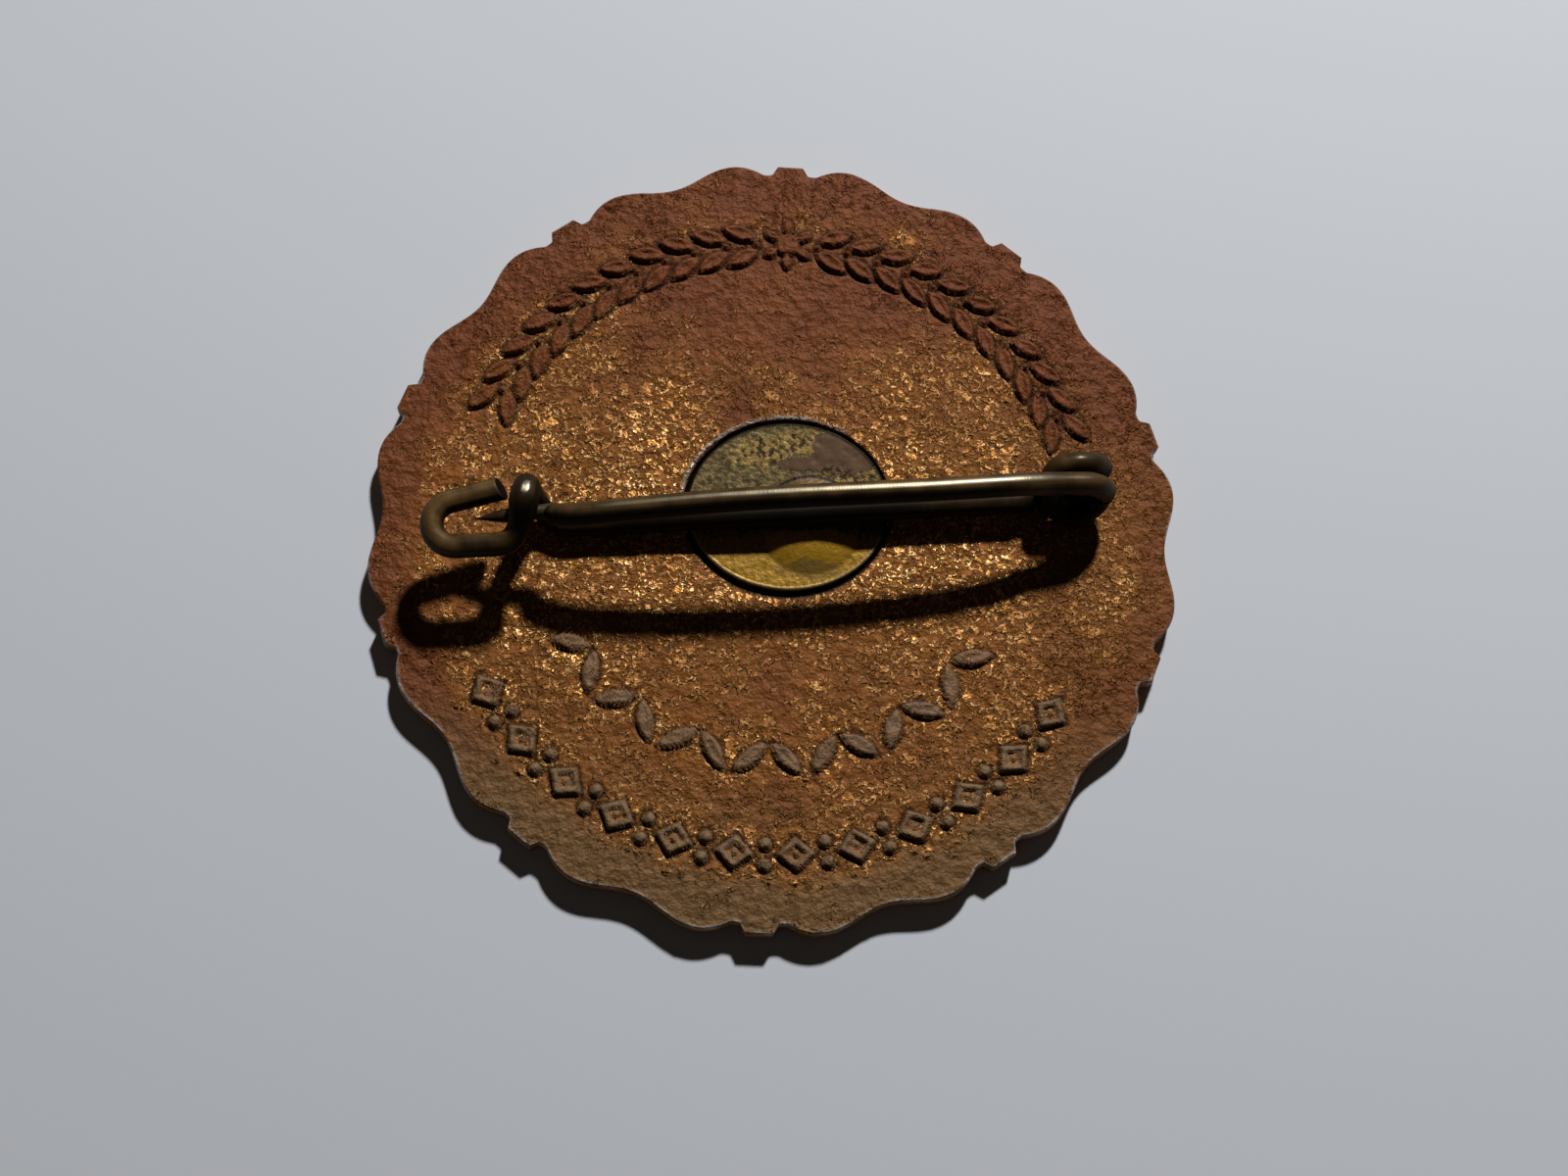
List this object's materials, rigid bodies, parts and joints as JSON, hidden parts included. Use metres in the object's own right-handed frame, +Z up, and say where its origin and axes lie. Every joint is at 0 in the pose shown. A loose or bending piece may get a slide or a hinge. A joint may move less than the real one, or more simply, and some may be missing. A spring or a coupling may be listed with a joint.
{
  "type": "pin badge",
  "caption": "Round struck copper badge with a scalloped, tabbed edge, lying back up to show the brass boss, coiled spring pin and bent catch on its back.",
  "frame": {"origin": "middle of the badge on the surface that it lies on, under its front border", "axes": "+Z up out of the back of the badge, shortest way; +X from the catch to the coil; +Y towards the top of the badge"},
  "size_m": [0.0358, 0.036, 0.0057],
  "materials": {
    "struck_copper": "struck, grained and lightly oxidised copper",
    "tarnished_brass": "pitted and tarnished brass",
    "drawn_wire": "drawn and tarnished brass wire"
  },
  "bodies": {
    "badge": {"struck_plate": "struck_copper", "catch_fitting": "tarnished_brass"},
    "pin": {"pin_arm": "drawn_wire"}
  },
  "joints": [
    {"name": "pin_release", "type": "hinge", "parent": "badge", "child": "pin", "pos_m": [0.01442, 0.00195, 0.00292], "axis": [0.057, -0.542, 0.8384], "range_deg": [0, 6], "stiffness_Nm_per_rad": 0.5}
  ]
}
